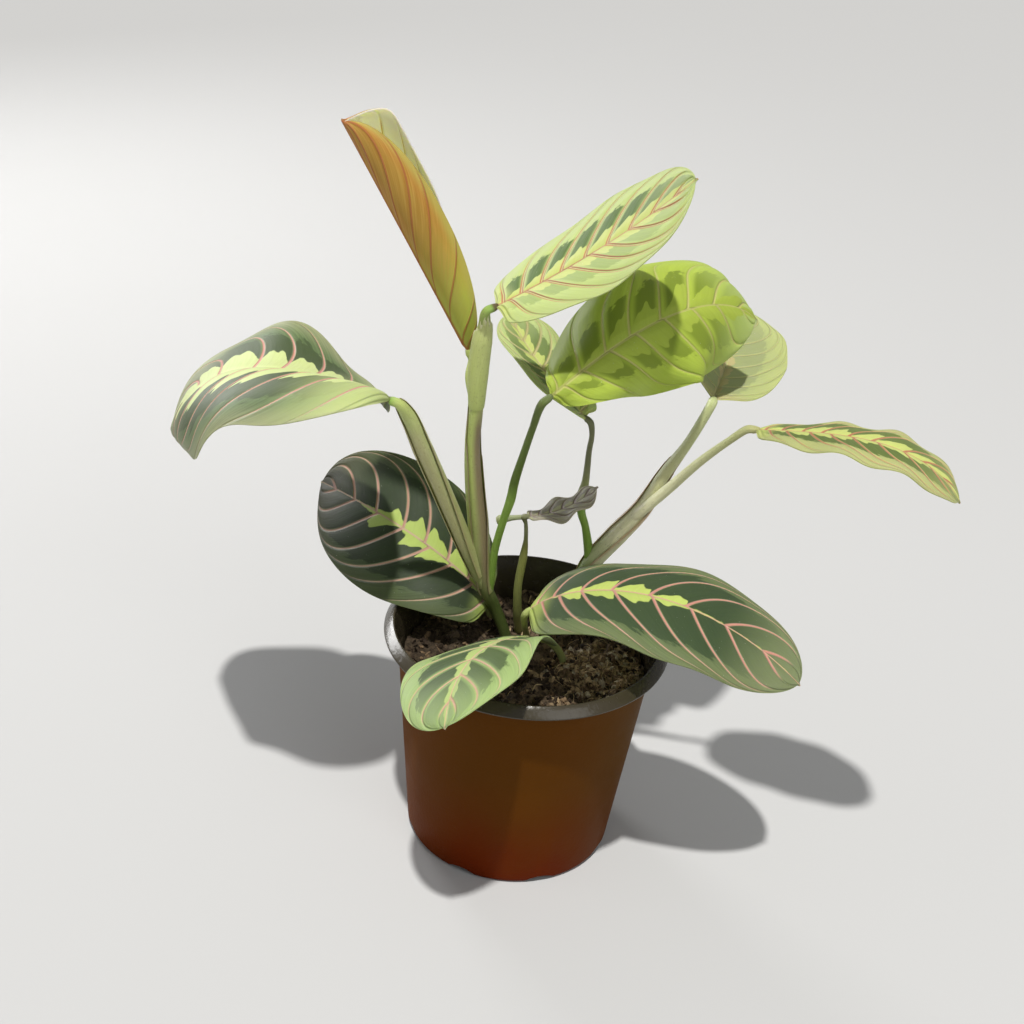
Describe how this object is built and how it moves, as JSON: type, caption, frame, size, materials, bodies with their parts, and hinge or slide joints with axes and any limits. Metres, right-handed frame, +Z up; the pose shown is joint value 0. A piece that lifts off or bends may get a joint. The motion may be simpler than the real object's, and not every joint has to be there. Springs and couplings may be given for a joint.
{
  "type": "potted prayer plant",
  "caption": "Prayer plant (maranta) with red-veined oval leaves and one rolled new leaf, rooted in soil in a round flared plastic nursery pot.",
  "frame": {"origin": "centre of the pot's flat underside, on the surface it stands on", "axes": "+Z up along the pot's axis, -Y towards the front and +X to the right as the plant is seen from the front"},
  "size_m": [0.3165, 0.2105, 0.313],
  "materials": {
    "pot": "brown semi-matt plastic with a grey inside",
    "soil": "dark crumbly potting mix",
    "stem": "smooth green stem",
    "pale_leaf": "pale green blade with red veins and dark blotches",
    "dark_leaf": "dark green blade with red veins and a lime stripe",
    "rolled_leaf": "orange-brown leaf underside"
  },
  "bodies": {
    "root": {"pot": "pot", "soil": "soil", "shoot_main": "stem", "shoot_right": "stem", "petiole_young": "stem", "petiole_front_right": "stem", "petiole_front_left": "stem", "petiole_low_left": "stem", "leaf_upper_right": "pale_leaf", "leaf_mid_right": "pale_leaf", "leaf_far_right": "pale_leaf", "leaf_back_right": "pale_leaf", "leaf_behind": "pale_leaf", "leaf_front_right": "dark_leaf", "leaf_front_left": "pale_leaf", "leaf_low_left": "dark_leaf", "leaf_upper_left": "dark_leaf", "leaf_young": "rolled_leaf", "leaf_rolled": "rolled_leaf"}
  },
  "joints": []
}
